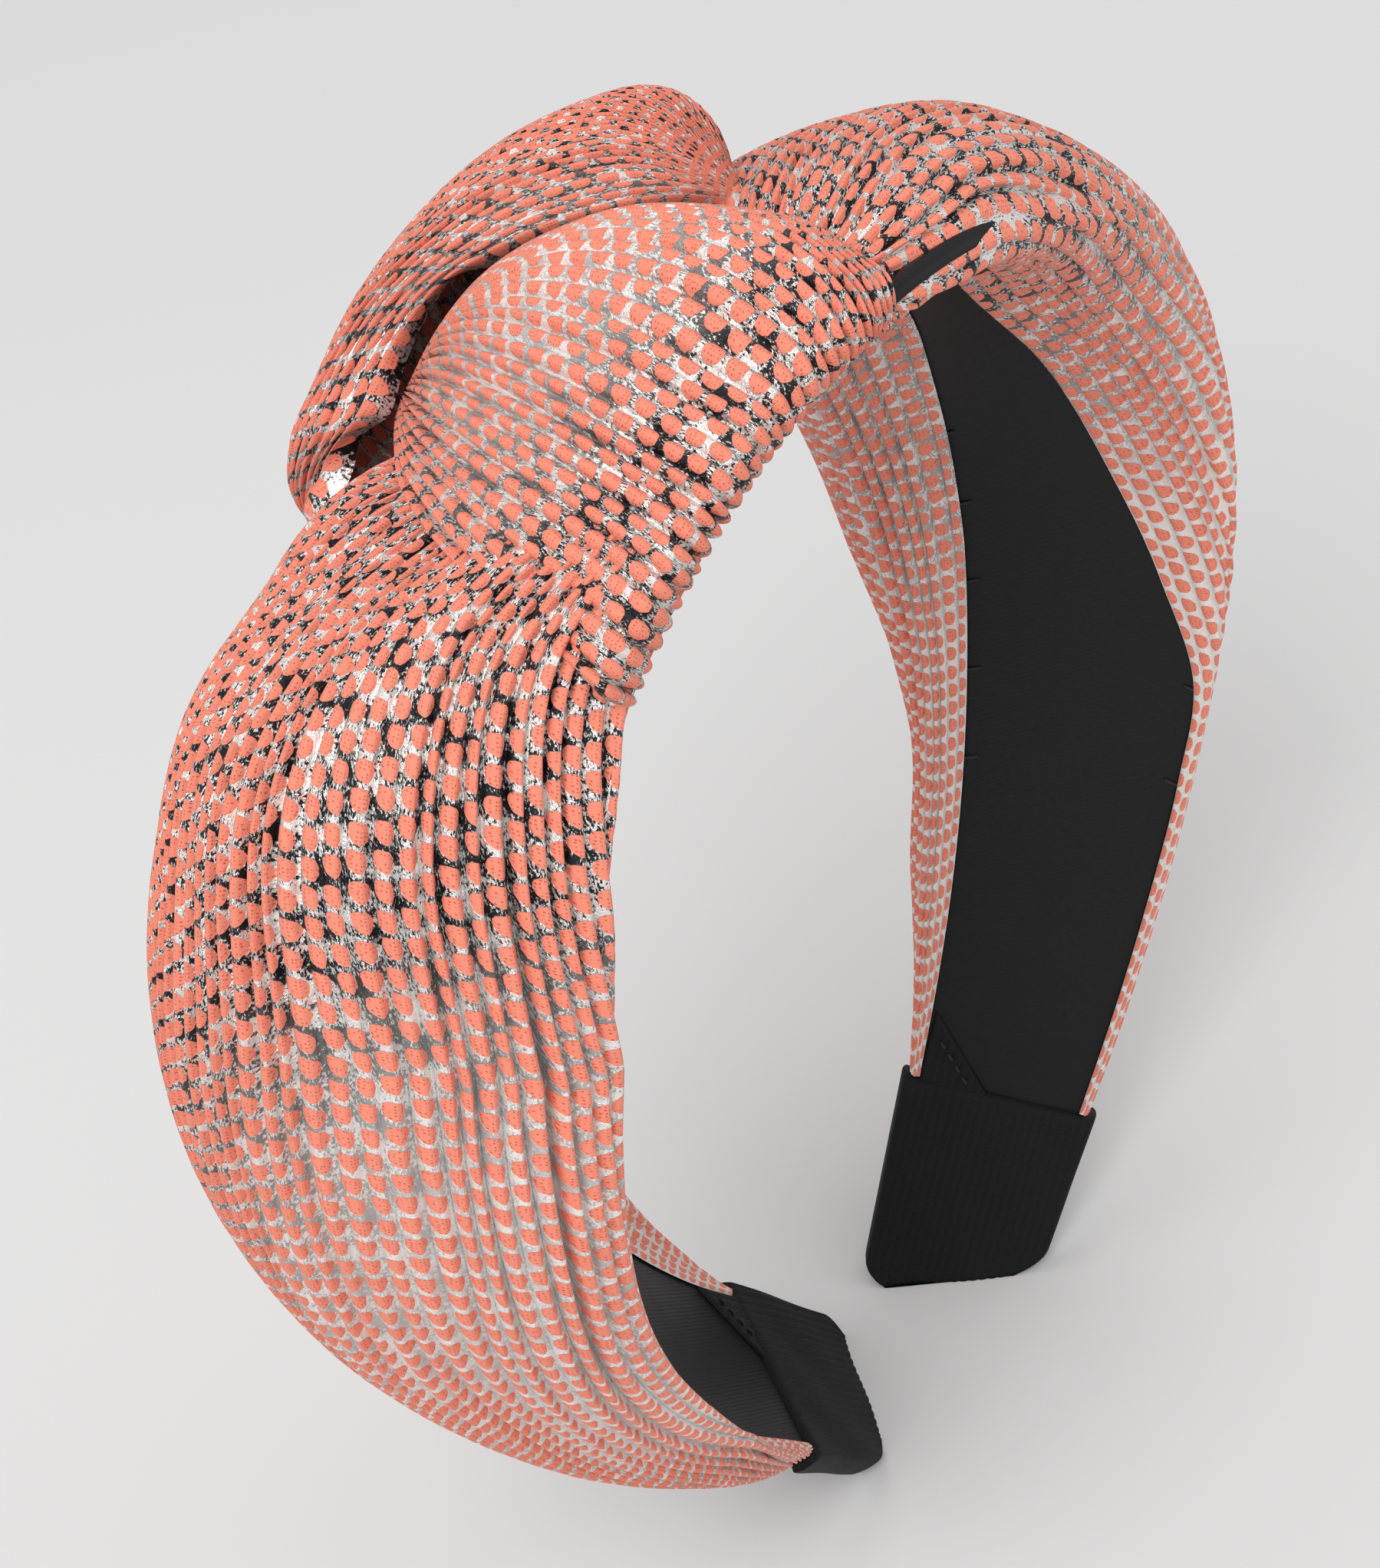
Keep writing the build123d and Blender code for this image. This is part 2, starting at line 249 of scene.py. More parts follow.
def newMaterial(name):
    material = bpy.data.materials.new(name)
    material.use_nodes = True
    tree = material.node_tree
    return material, tree, tree.nodes["Principled BSDF"]


def bumpInto(tree, shader, height, strength, distance):
    node = tree.nodes.new("ShaderNodeBump")
    node.inputs["Strength"].default_value = strength
    node.inputs["Distance"].default_value = distance
    plug(tree, height, node.inputs["Height"])
    plug(tree, node.outputs[0], shader.inputs["Normal"])


print("stage: helpers ready")

cloth = {
    "pleatWidth": 2.4,  # flat width of one pleat, which carries one column of dots
    "dotPitch": 2.4,  # from one dot to the next along a pleat
    "dotSquareness": 2.4,  # 2 is an ellipse
    "dotShift": 0.10,  # spread of the dots' middles, in cells
    "coral": (0.94, 0.285, 0.190, 1),
    # painted shade: darker coral laid into the knit's pinholes
    "coralPinholeShade": (0.66, 0.125, 0.070, 1),
    "foil": (0.93, 0.89, 0.86, 1),
    # painted reflection: near-black foil where the metal would mirror dark surroundings
    "foilDarkReflection": (0.025, 0.025, 0.028, 1),
}


def dotReach(tree, place, shift, size):
    # how far a place is from the middle of its dot, 1 at the dot's edge
    middle = mathNode(tree, "MULTIPLY_ADD", shift, cloth["dotShift"], 0.5 - cloth["dotShift"] / 2)
    offset = mathNode(tree, "SUBTRACT", mathNode(tree, "FRACT", place), middle)
    part = mathNode(tree, "ABSOLUTE", mathNode(tree, "DIVIDE", offset, size))
    return mathNode(tree, "POWER", part, cloth["dotSquareness"])


def makeDotPrint():
    # staggered dots on the pleats, pinholes of the knit inside them, and a foil crackle between them whose
    # dark facets are painted reflection
    inputs = [("Dot Width", 0.40), ("Dot Height", 0.42)]
    tree, given, result = newGroup("dotPrint", inputs, ["Dot", "Pinhole", "CrackleReflection", "Shade"])
    uv = tree.nodes.new("ShaderNodeUVMap")
    uv.uv_map = "cloth"
    split = tree.nodes.new("ShaderNodeSeparateXYZ")
    plug(tree, uv.outputs[0], split.inputs[0])
    across = mathNode(tree, "ADD", split.outputs[0], 0.5)
    column = mathNode(tree, "FLOOR", across)
    odd = mathNode(tree, "FLOORED_MODULO", column, 2.0)
    along = mathNode(tree, "MULTIPLY_ADD", odd, 0.5, split.outputs[1])
    row = mathNode(tree, "FLOOR", along)
    random = tree.nodes.new("ShaderNodeTexWhiteNoise")
    plug(tree, combine(tree, column, row), random.inputs["Vector"])
    shift = tree.nodes.new("ShaderNodeSeparateXYZ")
    plug(tree, random.outputs["Color"], shift.inputs[0])
    wide = dotReach(tree, across, shift.outputs[0], given.outputs["Dot Width"])
    tall = dotReach(tree, along, shift.outputs[1], given.outputs["Dot Height"])
    size = mathNode(tree, "ADD", wide, tall)
    flatX = mathNode(tree, "MULTIPLY", split.outputs[0], cloth["pleatWidth"])
    flatY = mathNode(tree, "MULTIPLY", split.outputs[1], cloth["dotPitch"])
    flat = combine(tree, flatX, flatY)
    ragged = mathNode(tree, "MULTIPLY_ADD", noise(tree, flat, 2.2, 3.0), 0.55, -0.28)
    edge = mathNode(tree, "ADD", size, ragged)
    plug(tree, ramp(tree, edge, 0.90, 1.06, 1.0, 0.0), result.inputs["Dot"])
    knit = tree.nodes.new("ShaderNodeTexVoronoi")
    knit.inputs["Scale"].default_value = 2.7
    knit.inputs["Randomness"].default_value = 0.35
    plug(tree, combine(tree, flatX, mathNode(tree, "MULTIPLY", flatY, 1.15)), knit.inputs["Vector"])
    plug(tree, ramp(tree, knit.outputs["Distance"], 0.14, 0.34, 1.0, 0.0), result.inputs["Pinhole"])
    # crackle and streaks of the foil: the dark facets are painted reflection, not the foil's own colour
    streak = combine(tree, mathNode(tree, "MULTIPLY", flatX, 3.2), mathNode(tree, "MULTIPLY", flatY, 1.3))
    broken = noise(tree, streak, 1.7, 4.0, 0.68)
    patches = noise(tree, flat, 0.33, 2.0, 0.6)
    crackleReflectionMask = mathNode(tree, "MULTIPLY_ADD", patches, 0.75, mathNode(tree, "SUBTRACT", broken, 0.40))
    plug(tree, ramp(tree, crackleReflectionMask, 0.44, 0.50), result.inputs["CrackleReflection"])
    plug(tree, noise(tree, streak, 3.5, 3.0, 0.7), result.inputs["Shade"])
    return tree


def makePleatedCloth(dots, name, dotWidth, dotHeight):
    # coral knit dots with painted shade in their pinholes, and silver foil with painted dark reflection in
    # its crackle and streaks; the spark attribute says how much the foil glitters and how much of that
    # painted reflection it gets
    material, tree, shader = newMaterial(name)
    pattern = useGroup(tree, dots, **{"Dot Width": dotWidth, "Dot Height": dotHeight})
    spark = tree.nodes.new("ShaderNodeAttribute")
    spark.attribute_name = "spark"
    shade = pattern.outputs["Shade"]
    # painted shade in the pinholes: the coral darkens where the knit's holes are
    coral = mixColour(tree, pattern.outputs["Pinhole"], cloth["coral"], cloth["coralPinholeShade"])
    # painted reflection: dark facets and fine dark streaks in the foil, strongest where the spark attribute
    # is high
    darkReflection = mathNode(tree, "MULTIPLY", pattern.outputs["CrackleReflection"], spark.outputs["Fac"])
    fine = ramp(tree, shade, 0.57, 0.70, 0.0, 0.38)
    fineReflectionShare = mathNode(tree, "MULTIPLY_ADD", spark.outputs["Fac"], 0.8, 0.2)
    darkReflection = mathNode(tree, "MAXIMUM", darkReflection, mathNode(tree, "MULTIPLY", fine, fineReflectionShare))
    foil = mixColour(tree, darkReflection, cloth["foil"], cloth["foilDarkReflection"])
    plug(tree, mixColour(tree, pattern.outputs["Dot"], foil, coral), shader.inputs["Base Color"])
    bare = mathNode(tree, "SUBTRACT", 1.0, pattern.outputs["Dot"])
    shine = mathNode(tree, "MULTIPLY", bare, mathNode(tree, "MULTIPLY_ADD", spark.outputs["Fac"], 0.72, 0.04))
    plug(tree, shine, shader.inputs["Metallic"])
    matte = mathNode(tree, "MULTIPLY_ADD", pattern.outputs["Dot"], 0.50, 0.24)
    plug(tree, matte, shader.inputs["Roughness"])
    foilHeight = mathNode(tree, "MULTIPLY", shade, 0.9)
    raised = mathNode(tree, "MULTIPLY_ADD", pattern.outputs["Dot"], 0.6, foilHeight)
    height = mathNode(tree, "SUBTRACT", raised, mathNode(tree, "MULTIPLY", pattern.outputs["Pinhole"], 0.35))
    bumpInto(tree, shader, height, 0.6, 0.00022)
    return material


def makeWeave():
    # fine diagonal twill, soft cloudiness and single raised threads, in the object's own space
    tree, given, result = newGroup("fineWeave", [("Scale", 1.0)], ["Twill", "Cloud", "Slub"])
    place = tree.nodes.new("ShaderNodeTexCoord")
    scaled = tree.nodes.new("ShaderNodeVectorMath")
    scaled.operation = "SCALE"
    plug(tree, place.outputs["Object"], scaled.inputs[0])
    plug(tree, given.outputs["Scale"], scaled.inputs["Scale"])
    twill = tree.nodes.new("ShaderNodeTexWave")
    twill.bands_direction = "DIAGONAL"
    twill.inputs["Scale"].default_value = 900
    twill.inputs["Distortion"].default_value = 1.2
    twill.inputs["Detail"].default_value = 1.0
    plug(tree, scaled.outputs[0], twill.inputs["Vector"])
    plug(tree, twill.outputs["Fac"], result.inputs["Twill"])
    plug(tree, noise(tree, scaled.outputs[0], 90, 2.0), result.inputs["Cloud"])
    plug(tree, noise(tree, scaled.outputs[0], 1500, 3.0, 0.7), result.inputs["Slub"])
    return tree


def makeBlackCloth(weave, name, scale, colour, dull, strength, distance):
    # black satin, grosgrain or thread: the same weave with its own scale and gloss
    material, tree, shader = newMaterial(name)
    pattern = useGroup(tree, weave, Scale=scale)
    pale = tuple(part * 2.4 + 0.004 for part in colour[:3]) + (1,)
    share = mathNode(tree, "MULTIPLY", pattern.outputs["Slub"], pattern.outputs["Cloud"])
    plug(tree, mixColour(tree, share, colour, pale), shader.inputs["Base Color"])
    cloudy = mathNode(tree, "MULTIPLY_ADD", pattern.outputs["Cloud"], 0.25, dull)
    plug(tree, cloudy, shader.inputs["Roughness"])
    height = mathNode(tree, "MULTIPLY_ADD", pattern.outputs["Slub"], 0.5, pattern.outputs["Twill"])
    bumpInto(tree, shader, height, strength, distance)
    shader.inputs["Specular IOR Level"].default_value = 0.22
    return material


dotPrint = makeDotPrint()
weave = makeWeave()
puffCloth = makePleatedCloth(dotPrint, "pleatedCloth", 0.39, 0.385)
knotCloth = makePleatedCloth(dotPrint, "knotCloth", 0.40, 0.385)
satinBlack = makeBlackCloth(weave, "blackSatin", 1.0, (0.006, 0.006, 0.0065, 1), 0.34, 0.25, 0.00005)
ribbonBlack = makeBlackCloth(weave, "blackGrosgrain", 1.6, (0.005, 0.005, 0.0055, 1), 0.55, 0.45, 0.00008)
threadBlack = makeBlackCloth(weave, "blackThread", 2.5, (0.020, 0.020, 0.021, 1), 0.50, 0.5, 0.00006)
plasticBlack = makeBlackCloth(weave, "blackPlastic", 0.4, (0.030, 0.030, 0.030, 1), 0.42, 0.10, 0.00002)
print("stage: materials ready")


# pleats of the covers and of the knot's straps, with lengths in millimetres
pleatStyle = {
    "stepsPerPleat": 8,
    "rowStep": 0.7,
    "uneven": 0.22,  # how much the covers' pleats differ in width
    "meander": 0.10,
    "strapUneven": 0.18,  # the same for the knot's straps
    "strapMeander": 0.06,
    "strapLumps": 0.35,
    "lean": 0.22,
    "depthSwing": 0.45,
    "ridgeRoundness": 0.62,  # lower is flatter on top and sharper in the valley
    "roughness": 0.7,
    "hemFade": 5.0,  # how far from a hem the pleats start to flatten
    "hemShare": 0.12,  # how much of a pleat's depth is left at the hem
    "hemDepth": -1.45,  # where the hem lies on the lining
    "turnDepth": -1.75,  # where the cloth turns round the strip's edge
    "satinEdge": 0.35,  # how far the satin reaches past the strip's edge
    "satinFace": 1.15,  # and how far its face is from the strip's middle
    "clearance": 0.15,  # what a pleat leaves free beside the satin
}


def pleatPlaces(rng, pleats, rows, stepsPerPleat, uneven, meander):
    # how far across the cloth each grid column lies in each row, and where it is within its pleat
    t = np.linspace(0, 1, rows)[:, None]
    width = 1 + uneven * np.sin(rng.uniform(0, fullTurn, pleats) + t * rng.uniform(-4, 4, pleats))
    ripple = np.sin(rng.uniform(0, fullTurn, pleats) + t * rng.uniform(-14, 14, pleats))
    width = width * (1 + meander * ripple)
    edges = np.concatenate([np.zeros((rows, 1)), np.cumsum(width, axis=1)], axis=1)
    edges = edges / edges[:, -1:]
    inside = np.arange(stepsPerPleat) / stepsPerPleat
    start, span = edges[:, :-1, None], np.diff(edges, axis=1)[:, :, None]
    place = (start + span * inside).reshape(rows, -1)
    place = np.concatenate([place, np.ones((rows, 1))], axis=1)
    within = np.tile(inside, pleats).tolist() + [1.0]
    number = np.repeat(np.arange(pleats), stepsPerPleat).tolist() + [pleats - 1]
    return place, np.array(within), np.array(number)


def pleatDepth(rng, number, within, s, depth, folds, lean):
    # how far below the ridges the cloth lies, and how far the pleat leans sideways
    pleats = int(number.max()) + 1
    phase = rng.uniform(0, fullTurn, pleats)
    swing = np.sin(phase + s[:, None] * rng.uniform(-0.09, 0.09, pleats))
    own = depth * (1 + pleatStyle["depthSwing"] * swing)
    for pleat, middle, reach, extra in folds:
        own[:, pleat] += extra * np.exp(-(((s - middle) / reach) ** 2))
        own[:, (pleat + 1) % pleats] += 0.5 * extra * np.exp(-(((s - middle) / reach) ** 2))
    ridge = np.sin(math.pi * within) ** pleatStyle["ridgeRoundness"]
    fromLeft = np.where(within < 0.5, own[:, number], 0)
    neighbour = np.roll(own, -1, axis=1)[:, number]
    valley = np.where(within < 0.5, fromLeft, neighbour)
    return valley * (1 - ridge), lean * np.sin(math.pi * within) ** 2


def clothPlaces(points, number, within):
    # place on the flat cloth: pleats across (whole numbers on the ridges), dots down
    steps = pleatStyle["stepsPerPleat"]
    ridges = lengthsAlong(points[:, steps // 2::steps], 0)[:, number]
    down = (0.85 * ridges + 0.15 * ridges.mean(axis=1, keepdims=True)) / cloth["dotPitch"]
    across = np.broadcast_to((number + within - 0.5)[None, :], down.shape)
    return np.stack([across, down], -1)


# Each row: s, how far the cloth puffs past the strip's front edge and rear edge, its height, and
# how far it is folded over the lining at the front and at the rear
leftCover = {
    "side": -1,
    "pleats": 60,
    "seed": 4,
    "depth": 1.25,
    "sparkReach": 110,
    "sag": 6.0,  # how far the cloth hangs in past the strip's inner face
    "rearLift": 6.0,  # extra fullness under the knot's flap
    "shape": (
        (20, -1, 7, 8.0, 2.0, 2.0), (27, 0, 12.5, 11.0, 2.0, 2.0), (34, 1.5, 16.5, 17.0, 1.6, 1.6),
        (42, 3.5, 18.5, 23.0, 1.2, 1.2), (56, 6.5, 19.5, 25.5, 0.9, 0.9), (75, 9.5, 18.5, 25.5, 0.8, 0.8),
        (95, 9.5, 16.0, 22.5, 0.8, 0.8), (115, 8.0, 11.0, 17.5, 0.8, 0.8), (132, 6.5, 6.5, 11.0, 0.8, 0.8),
        (145, 4.5, 4.0, 6.5, 0.8, 0.8), (155, 2.2, 2.0, 3.6, 0.8, 0.8), (161.3, 0.5, 0.6, 2.0, 0.6, 0.6),
    ),
    "folds": (
        (13, 112, 24, 2.6), (19, 98, 26, 2.2), (26, 62, 22, 2.2), (33, 90, 30, 2.6), (40, 52, 18, 2.0),
        (45, 112, 22, 2.6),
        (52, 66, 26, 2.4),
    ),
}
rightCover = {
    "side": 1,
    "pleats": 46,
    "seed": 9,
    "depth": 1.0,
    "sparkReach": 45,
    "sag": 0.8,
    "rearLift": 0.0,
    "shape": (
        (2, -1.5, 3, 5.0, 2.0, 2.0), (7, -1.0, 5, 6.0, 6.0, 4.0), (12, -0.2, 7, 10.0, 9.0, 6.0),
        (17, 0.3, 9.5, 12.0, 10.0, 7.0),
        (24, 0.6, 11.5, 13.5, 13.0, 8.0), (32, 0.9, 13, 12.8, 16.0, 8.0), (44, 1.2, 14.5, 10.2, 18.0, 5.6),
        (60, 1.2, 15.2, 7.8, 15.5, 2.4), (78, 1.2, 14.4, 7.0, 11.5, 0.8), (92, 1.2, 12.5, 6.6, 6.5, 0.6),
        (106, 1.2, 8.5, 6.0, 1.0, 0.5), (118, 1.1, 5.8, 5.4, 0.5, 0.5), (135, 1.0, 4.6, 4.2, 0.5, 0.5),
        (150, 0.8, 2.2, 3.0, 0.5, 0.5), (161.3, 0.5, 0.6, 1.9, 0.5, 0.5),
    ),
    "folds": (
        (10, 34, 16, 2.0), (18, 44, 20, 2.0), (26, 40, 22, 2.2), (33, 60, 26, 1.8), (40, 80, 30, 1.8),
    ),
}


def coverSection(s, front, rear, height, frontFold, rearFold, sag, rearLift):
    # key places round one cover, from the rear hem over the top to the front hem, as (v, n)
    w = float(halfWidth(s))
    puffR, puffF = max(rear, 0.0), max(front, 0.0)
    sagR, sagF = sag * min(puffR, 12) / 12, sag * min(puffF, 7) / 7
    liftAt, liftReach = 26, 9
    lift = rearLift * math.exp(-(((s - liftAt) / liftReach) ** 2))
    hemDepth, turnDepth = pleatStyle["hemDepth"], pleatStyle["turnDepth"]
    return np.array([
        (w - rearFold, hemDepth),
        (w + 0.2, turnDepth),
        (w + 0.75 * puffR + 0.3, -0.8 - sagR),
        (w + rear, 0.30 * height),
        (0.72 * w + 0.62 * rear, 0.80 * height + lift),
        (0.10 * w + 0.10 * rear, height),
        (-0.60 * w - 0.25 * front, 0.83 * height),
        (-w - 0.65 * front, 0.36 * height),
        (-w - front, 0.6 - 0.7 * sagF),
        (-w - 0.80 * puffF - 0.3, -0.8 - sagF),
        (-w - 0.2, turnDepth),
        (-w + frontFold, hemDepth),
    ])


def roundedLine(keys, count):
    # evenly walked smooth line through the keys
    walked = np.concatenate([[0], np.cumsum(np.linalg.norm(np.diff(keys, axis=0), axis=1) + 1e-6)])
    rows = np.column_stack([walked, keys])
    line = through(rows, np.linspace(0, walked[-1], count))
    lengths = np.concatenate([[0], np.cumsum(np.linalg.norm(np.diff(line, axis=0), axis=1))])
    return line, lengths


def buildCover(name, size):
    rng = np.random.default_rng(size["seed"])
    first, last = size["shape"][0][0], size["shape"][-1][0]
    rows = int((last - first) / pleatStyle["rowStep"])
    s = np.linspace(first, last, rows)
    place, within, number = pleatPlaces(
        rng, size["pleats"], rows, pleatStyle["stepsPerPleat"], pleatStyle["uneven"], pleatStyle["meander"]
    )
    below, sideways = pleatDepth(rng, number, within, s, size["depth"], size["folds"], pleatStyle["lean"])
    shape = through(size["shape"], s)
    v, n, girth = np.zeros_like(place), np.zeros_like(place), np.zeros(rows)
    for i in range(rows):
        keys = coverSection(s[i], *shape[i], size["sag"], size["rearLift"])
        line, walked = roundedLine(keys, 240)
        girth[i] = walked[-1]
        at = np.clip(place[i] + sideways / size["pleats"], 0, 1) * walked[-1]
        tangent = np.gradient(line, walked, axis=0)
        tangent /= np.linalg.norm(tangent, axis=1)[:, None] + 1e-9
        outV, outN = tangent[:, 1], -tangent[:, 0]
        # pleats fade where the hem is tucked flat against the strip
        hem = np.clip(np.minimum(at, walked[-1] - at) / pleatStyle["hemFade"], pleatStyle["hemShare"], 1)
        baseV, baseN = np.interp(at, walked, line[:, 0]), np.interp(at, walked, line[:, 1])
        # and they never reach the satin on the strip
        pastEdge = np.clip(np.abs(baseV) - float(halfWidth(s[i])) - pleatStyle["satinEdge"], 0, None)
        pastFace = np.clip(np.abs(baseN) - pleatStyle["satinFace"], 0, None)
        room = np.hypot(pastEdge, pastFace) - pleatStyle["clearance"]
        deep = np.minimum(below[i] * hem, np.clip(room, 0, None))
        v[i] = baseV - deep * np.interp(at, walked, outV)
        n[i] = baseN - deep * np.interp(at, walked, outN)
    lumps = waves(rng, 5, s[:, None], place * girth[:, None], 9.0, 11.0)
    n = n + np.where(n > 3, pleatStyle["roughness"] * lumps * np.clip((n - 3) / 6, 0, 1), 0)
    points = hoopPoint(size["side"] * s[:, None], v, n)
    uv = clothPlaces(points, number, within)
    # spark is highest towards the crown, where the foil glitters and gets the most painted dark reflection
    spark = np.clip(1.25 - (s[:, None] - 20) / size["sparkReach"] + 0.35 * lumps, 0.05, 1)
    if size["side"] > 0:
        points, uv, spark = points[::-1], uv[::-1], spark[::-1]
    return gridMesh(name, points, uv, spark), points


leftPuff, leftGrid = buildCover("leftCover", leftCover)
rightPuff, rightGrid = buildCover("rightCover", rightCover)
finishPiece(leftPuff, puffCloth, "pleated_cloth", None, "left_cover")
finishPiece(rightPuff, puffCloth, "pleated_cloth", None, "right_cover")
print("stage: covers ready")

# The knot: rows run across the pleats, and each row is one pleat's way from the gather to its hem
frontStrap = {
    "seed": 21,
    "pleats": 30,
    "rows": 190,
    "depth": 1.15,
    "edgeRoll": 1.0,
    "endTuck": 0.0,
    "folds": ((5, 24, 14, 1.0), (12, 34, 16, 1.2), (19, 26, 14, 1.0)),
    "lines": (
        ((-9, 18.5, 13.5), (-6, 15, 16), (-1, 10.5, 15.8), (5, 6.5, 12.8), (10, 3, 8.8), (9.5, -5, 6.5),
         (6, -13, 4.5),
         (4, -18.5, 2), (4, -16, -1.9), (4, -10, -1.6)),
        ((-11, 19, 13.5), (-8.5, 15, 16.3), (-5, 9.5, 17), (-1.5, 3.5, 16.3), (0.5, -3, 13.5),
         (1, -9.5, 10),
         (0.5, -14.5, 5.2), (-1, -18, 1.6), (-1, -16, -1.9), (-1, -10, -1.6)),
        ((-13.5, 19.5, 13.3), (-12.5, 15, 16), (-11.5, 9.5, 17.3), (-11, 3.5, 17), (-10.5, -3, 15),
         (-10.5, -9.5, 11.5),
         (-10.5, -14.5, 5.8), (-10.5, -18, 1.6), (-10.5, -16, -1.9), (-10.5, -10, -1.6)),
        ((-16, 20, 13), (-17, 15, 14.8), (-18, 9.5, 15.5), (-18.8, 3.5, 15), (-19.5, -3, 13.3),
         (-20, -9.5, 10),
         (-20.5, -14.5, 5.2), (-21, -18, 1.6), (-21, -16, -1.9), (-21, -10, -1.6)),
        ((-18.5, 20.5, 12.3), (-21.5, 15.5, 13), (-24.5, 10.5, 13), (-26.5, 4.5, 12.3), (-28, -2, 10.8),
         (-29, -8.5, 8),
         (-30, -14, 5.5), (-31, -18.7, 2.6), (-31.5, -16, -1.9), (-31, -10, -1.6)),
    ),
}
rearStrap = {
    "seed": 33,
    "pleats": 34,
    "rows": 190,
    "depth": 0.85,
    "edgeRoll": 1.6,
    "endTuck": 5.5,  # how far the right end is pressed down onto the right cover
    "folds": ((6, 16, 14, 0.9), (14, 24, 16, 1.0), (23, 18, 14, 0.9)),
    "lines": (
        ((12, 5, 9.8), (5, 6.5, 13.3), (-1, 10.5, 15.8), (-6, 14.3, 17), (-10, 18, 16.8),
         (-15, 19.3, 16.3), (-20, 18.8, 15.8),
         (-25, 24, 14.6), (-30, 28, 13.2), (-33, 29, 7), (-33, 24.5, 2)),
        ((12.3, 5.2, 10), (7, 9, 17.5), (0, 14.5, 20.5), (-7, 18.5, 21), (-13, 22, 20.3), (-19, 24.5, 18.8),
         (-24.5, 27.5, 17), (-29, 30.5, 13), (-31, 31.5, 7), (-31, 28, 1.5), (-30, 19, -1.8)),
        ((12.6, 5.4, 10.3), (9.5, 10.5, 19), (4, 17, 21.8), (-3, 20.5, 22), (-9, 25, 20),
         (-14, 29, 16.5), (-18, 31.5, 12),
         (-20.5, 32, 7), (-21.5, 29.5, 2), (-21.5, 24, -1.4), (-21, 16, -1.9)),
        ((12.9, 5.5, 10.5), (12, 10.5, 19.5), (9, 16.5, 21.8), (5, 22, 21), (1, 27, 17.5), (-2, 30, 13),
         (-4, 31.5, 8.5),
         (-5.5, 30.5, 4), (-6.5, 27, 0), (-6.5, 22, -1.7), (-6.5, 15, -1.9)),
        ((13.2, 5.5, 10.5), (14.3, 9.5, 19), (13.3, 15.5, 20.8), (11.5, 20.5, 19), (9.5, 25, 15.5),
         (8, 28, 11.5),
         (7, 29.5, 7.5), (6, 28.5, 3.5), (5.5, 26, 0), (5.5, 21, -1.7), (5.5, 14, -1.9)),
        ((13.4, 5.2, 10), (16.3, 6.5, 15), (17.5, 11, 16.5), (18, 15.5, 15.5), (18.3, 20, 13.5),
         (18.5, 23.5, 10.5),
         (18.5, 25.5, 7), (18.5, 25.5, 3.5), (18.5, 24, 0.5), (18.5, 20, -1.7), (18.5, 13, -1.9)),
    ),
}


def buildStrap(name, size):
    rng = np.random.default_rng(size["seed"])
    rows = size["rows"]
    place, within, number = pleatPlaces(
        rng, size["pleats"], rows, pleatStyle["stepsPerPleat"],
        pleatStyle["strapUneven"], pleatStyle["strapMeander"]
    )
    along = np.linspace(0, 1, rows)
    # smooth ways along each guide line, then smoothly across from guide to guide
    guides = []
    for line in size["lines"]:
        guides.append(through(np.column_stack([np.linspace(0, 1, len(line)), line]), along))
    guides = np.array(guides)
    spread = np.linspace(0, 1, len(guides))
    base = np.zeros(place.shape + (3,))
    for i in range(rows):
        base[i] = through(np.column_stack([spread, guides[:, i]]), place[i])
    flat = hoopPoint(base[..., 0], base[..., 1], base[..., 2])
    normal = np.cross(np.gradient(flat, axis=1), np.gradient(flat, axis=0))
    normal /= np.linalg.norm(normal, axis=-1, keepdims=True) + 1e-12
    outward = hoopPoint(base[..., 0], base[..., 1], base[..., 2] + 1) - flat
    middle = rows // 3
    if (normal[middle] * outward[middle]).sum() < 0:
        normal = -normal
    below, _ = pleatDepth(rng, number, within, along * 60, size["depth"], size["folds"], 0)
    below = below * np.clip((1 - along[:, None]) / 0.12, 0.15, 1)
    # the strap's own edge rolls under, so that its border is round
    below = below + size["edgeRoll"] * np.exp(-place * size["pleats"] / 0.45)
    below = below + size["endTuck"] * np.exp(-(1 - place) * size["pleats"] / 1.6)
    lumps = waves(rng, 5, along[:, None] * 60, place * 50, 8.0, 10.0)
    uneven = pleatStyle["strapLumps"] * lumps * np.clip((1 - along[:, None]) / 0.3, 0, 1)
    points = flat + normal * (uneven - below)[..., None] * mm
    uv = clothPlaces(flat, number, within)
    # on the knot the foil glitters and gets painted dark reflection almost everywhere
    spark = np.clip(1.0 + 0.4 * lumps, 0.1, 1)
    return gridMesh(name, points, uv, spark), points


frontKnot, frontGrid = buildStrap("knotFrontStrap", frontStrap)
rearKnot, rearGrid = buildStrap("knotRearStrap", rearStrap)
finishPiece(frontKnot, knotCloth, "pleated_cloth", "crown", "knot_front_strap")
finishPiece(rearKnot, knotCloth, "pleated_cloth", "crown", "knot_rear_strap")
print("stage: knot ready")

satin = {
    "outer": 1.05,
    "inner": 0.62,
    "roll": 0.32,  # how far the satin is rolled round the strip's edge
    "rowStep": 1.2,
    "pucker": 0.05,
    "blendReach": 3.0,
}


def sleeve(name, first, last, ring):
    # closed tube along the hoop from a ring of (v, n) places at each s
    rows = max(3, int(abs(last - first) / satin["rowStep"]))
    s = np.linspace(first, last, rows)
    v, n = zip(*(ring(float(at)) for at in s))
    points = hoopPoint(s[:, None], np.array(v), np.array(n))
    if last > first:
        points = points[:, ::-1]
    return gridMesh(name, points, wrap=True, caps=True), points


